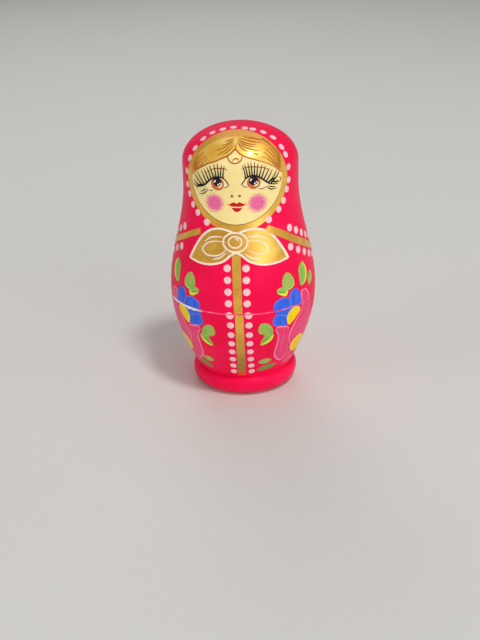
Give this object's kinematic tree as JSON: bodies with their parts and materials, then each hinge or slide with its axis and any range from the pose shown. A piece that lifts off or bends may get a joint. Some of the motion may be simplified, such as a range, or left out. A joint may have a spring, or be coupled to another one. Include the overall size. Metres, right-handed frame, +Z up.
{
  "type": "nesting doll",
  "caption": "Turned wooden nesting doll whose painted halves push together on a collar, holding ever smaller dolls one inside another around a solid smallest doll.",
  "frame": {"origin": "centre of the foot's flat underside, on the surface that the doll stands on", "axes": "+Z up along the turned axis; the painted face looks along -Y, with +X on the viewer's right"},
  "size_m": [0.062, 0.062, 0.1132],
  "materials": {
    "painted_limewood": "crimson paint under gloss lacquer",
    "bare_limewood": "turned and sanded, unpainted",
    "gold_paint": "bronze-powder paint under gloss lacquer",
    "cream_paint": "face colour under gloss lacquer",
    "white_paint": "dots and outlines under gloss lacquer",
    "pink_paint": "petals and cheeks under gloss lacquer",
    "blue_paint": "petals under gloss lacquer",
    "yellow_paint": "flower centres under gloss lacquer",
    "green_paint": "leaves under gloss lacquer",
    "brown_paint": "hair lines, brows and irises under gloss lacquer",
    "black_paint": "pupils and lashes under gloss lacquer",
    "red_paint": "lips under gloss lacquer"
  },
  "bodies": {
    "outer_lower_half": {"outer_lower_half": "painted_limewood"},
    "outer_upper_half": {"outer_upper_half": "painted_limewood"},
    "second_lower_half": {"second_lower_half": "painted_limewood"},
    "second_upper_half": {"second_upper_half": "painted_limewood"},
    "third_lower_half": {"third_lower_half": "painted_limewood"},
    "third_upper_half": {"third_upper_half": "painted_limewood"},
    "fourth_lower_half": {"fourth_lower_half": "painted_limewood"},
    "fourth_upper_half": {"fourth_upper_half": "painted_limewood"},
    "smallest_doll": {"smallest_doll": "painted_limewood"}
  },
  "joints": [
    {"name": "outer_upper_half_lift", "type": "slide", "parent": "outer_lower_half", "child": "outer_upper_half", "axis": [0, 0, 1], "range_m": [0, 0.3178]},
    {"name": "second_lower_half_lift", "type": "slide", "parent": "outer_lower_half", "child": "second_lower_half", "axis": [0, 0, 1], "range_m": [0, 0.0435]},
    {"name": "second_upper_half_lift", "type": "slide", "parent": "second_lower_half", "child": "second_upper_half", "axis": [0, 0, 1], "range_m": [0, 0.2098]},
    {"name": "third_lower_half_lift", "type": "slide", "parent": "second_lower_half", "child": "third_lower_half", "axis": [0, 0, 1], "range_m": [0, 0.0348]},
    {"name": "third_upper_half_lift", "type": "slide", "parent": "third_lower_half", "child": "third_upper_half", "axis": [0, 0, 1], "range_m": [0, 0.124]},
    {"name": "fourth_lower_half_lift", "type": "slide", "parent": "third_lower_half", "child": "fourth_lower_half", "axis": [0, 0, 1], "range_m": [0, 0.028]},
    {"name": "fourth_upper_half_lift", "type": "slide", "parent": "fourth_lower_half", "child": "fourth_upper_half", "axis": [0, 0, 1], "range_m": [0, 0.0554]},
    {"name": "smallest_doll_lift", "type": "slide", "parent": "fourth_lower_half", "child": "smallest_doll", "axis": [0, 0, 1], "range_m": [0, 0.0228]}
  ],
  "couplings": [
    {"joint": "second_lower_half_lift", "follows": "outer_upper_half_lift", "ratio": 0.13688},
    {"joint": "second_upper_half_lift", "follows": "outer_upper_half_lift", "ratio": 0.66016},
    {"joint": "third_lower_half_lift", "follows": "outer_upper_half_lift", "ratio": 0.1095},
    {"joint": "third_upper_half_lift", "follows": "outer_upper_half_lift", "ratio": 0.39018},
    {"joint": "fourth_lower_half_lift", "follows": "outer_upper_half_lift", "ratio": 0.088105},
    {"joint": "fourth_upper_half_lift", "follows": "outer_upper_half_lift", "ratio": 0.17432},
    {"joint": "smallest_doll_lift", "follows": "outer_upper_half_lift", "ratio": 0.071743}
  ]
}
